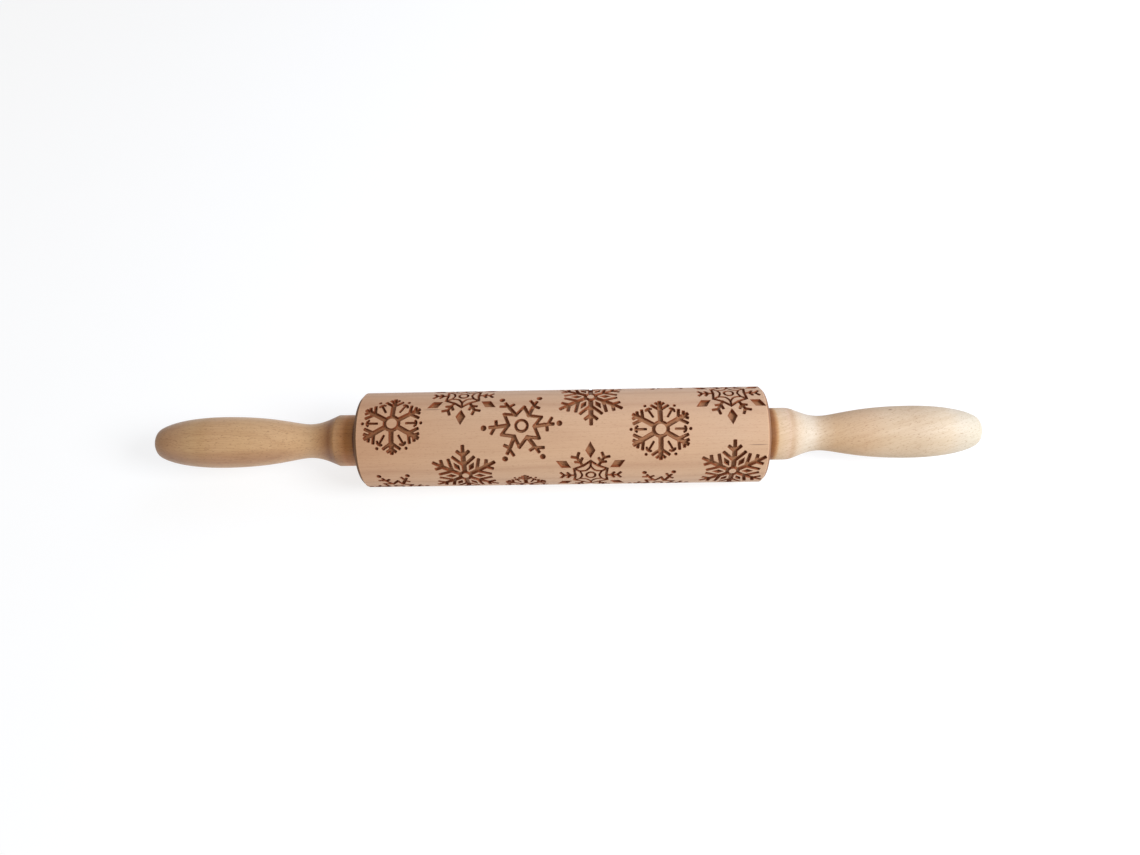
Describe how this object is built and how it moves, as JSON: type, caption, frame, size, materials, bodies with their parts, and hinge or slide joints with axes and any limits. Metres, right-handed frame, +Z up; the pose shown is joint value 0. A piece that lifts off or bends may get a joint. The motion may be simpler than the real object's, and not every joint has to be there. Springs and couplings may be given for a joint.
{
  "type": "rolling pin",
  "caption": "Wooden rolling pin whose barrel, engraved all round with snow crystals, turns freely on a steel axle between two turned handles.",
  "frame": {"origin": "middle of the barrel on its own axis, which is the centre of the whole pin", "axes": "+X along the pin towards its right handle, +Z up from the surface it lies on, -Y is the front"},
  "size_m": [0.39, 0.0446, 0.0446],
  "materials": {
    "barrel_beech": "fine sanded, engraving burnt dark brown",
    "handle_beech": "turned and lightly oiled",
    "axle_steel": "bright drawn",
    "bush_nylon": "moulded",
    "washer_steel": "stamped"
  },
  "bodies": {
    "handle_frame": {"axle_rod": "axle_steel", "left_handle": "handle_beech", "right_handle": "handle_beech", "left_washer": "washer_steel", "right_washer": "washer_steel"},
    "barrel": {"barrel": "barrel_beech", "left_bush": "bush_nylon", "right_bush": "bush_nylon"}
  },
  "joints": [
    {"name": "barrel_spin", "type": "hinge", "parent": "handle_frame", "child": "barrel", "pos_m": [0, 0, 0], "axis": [1, 0, 0], "continuous": true}
  ]
}
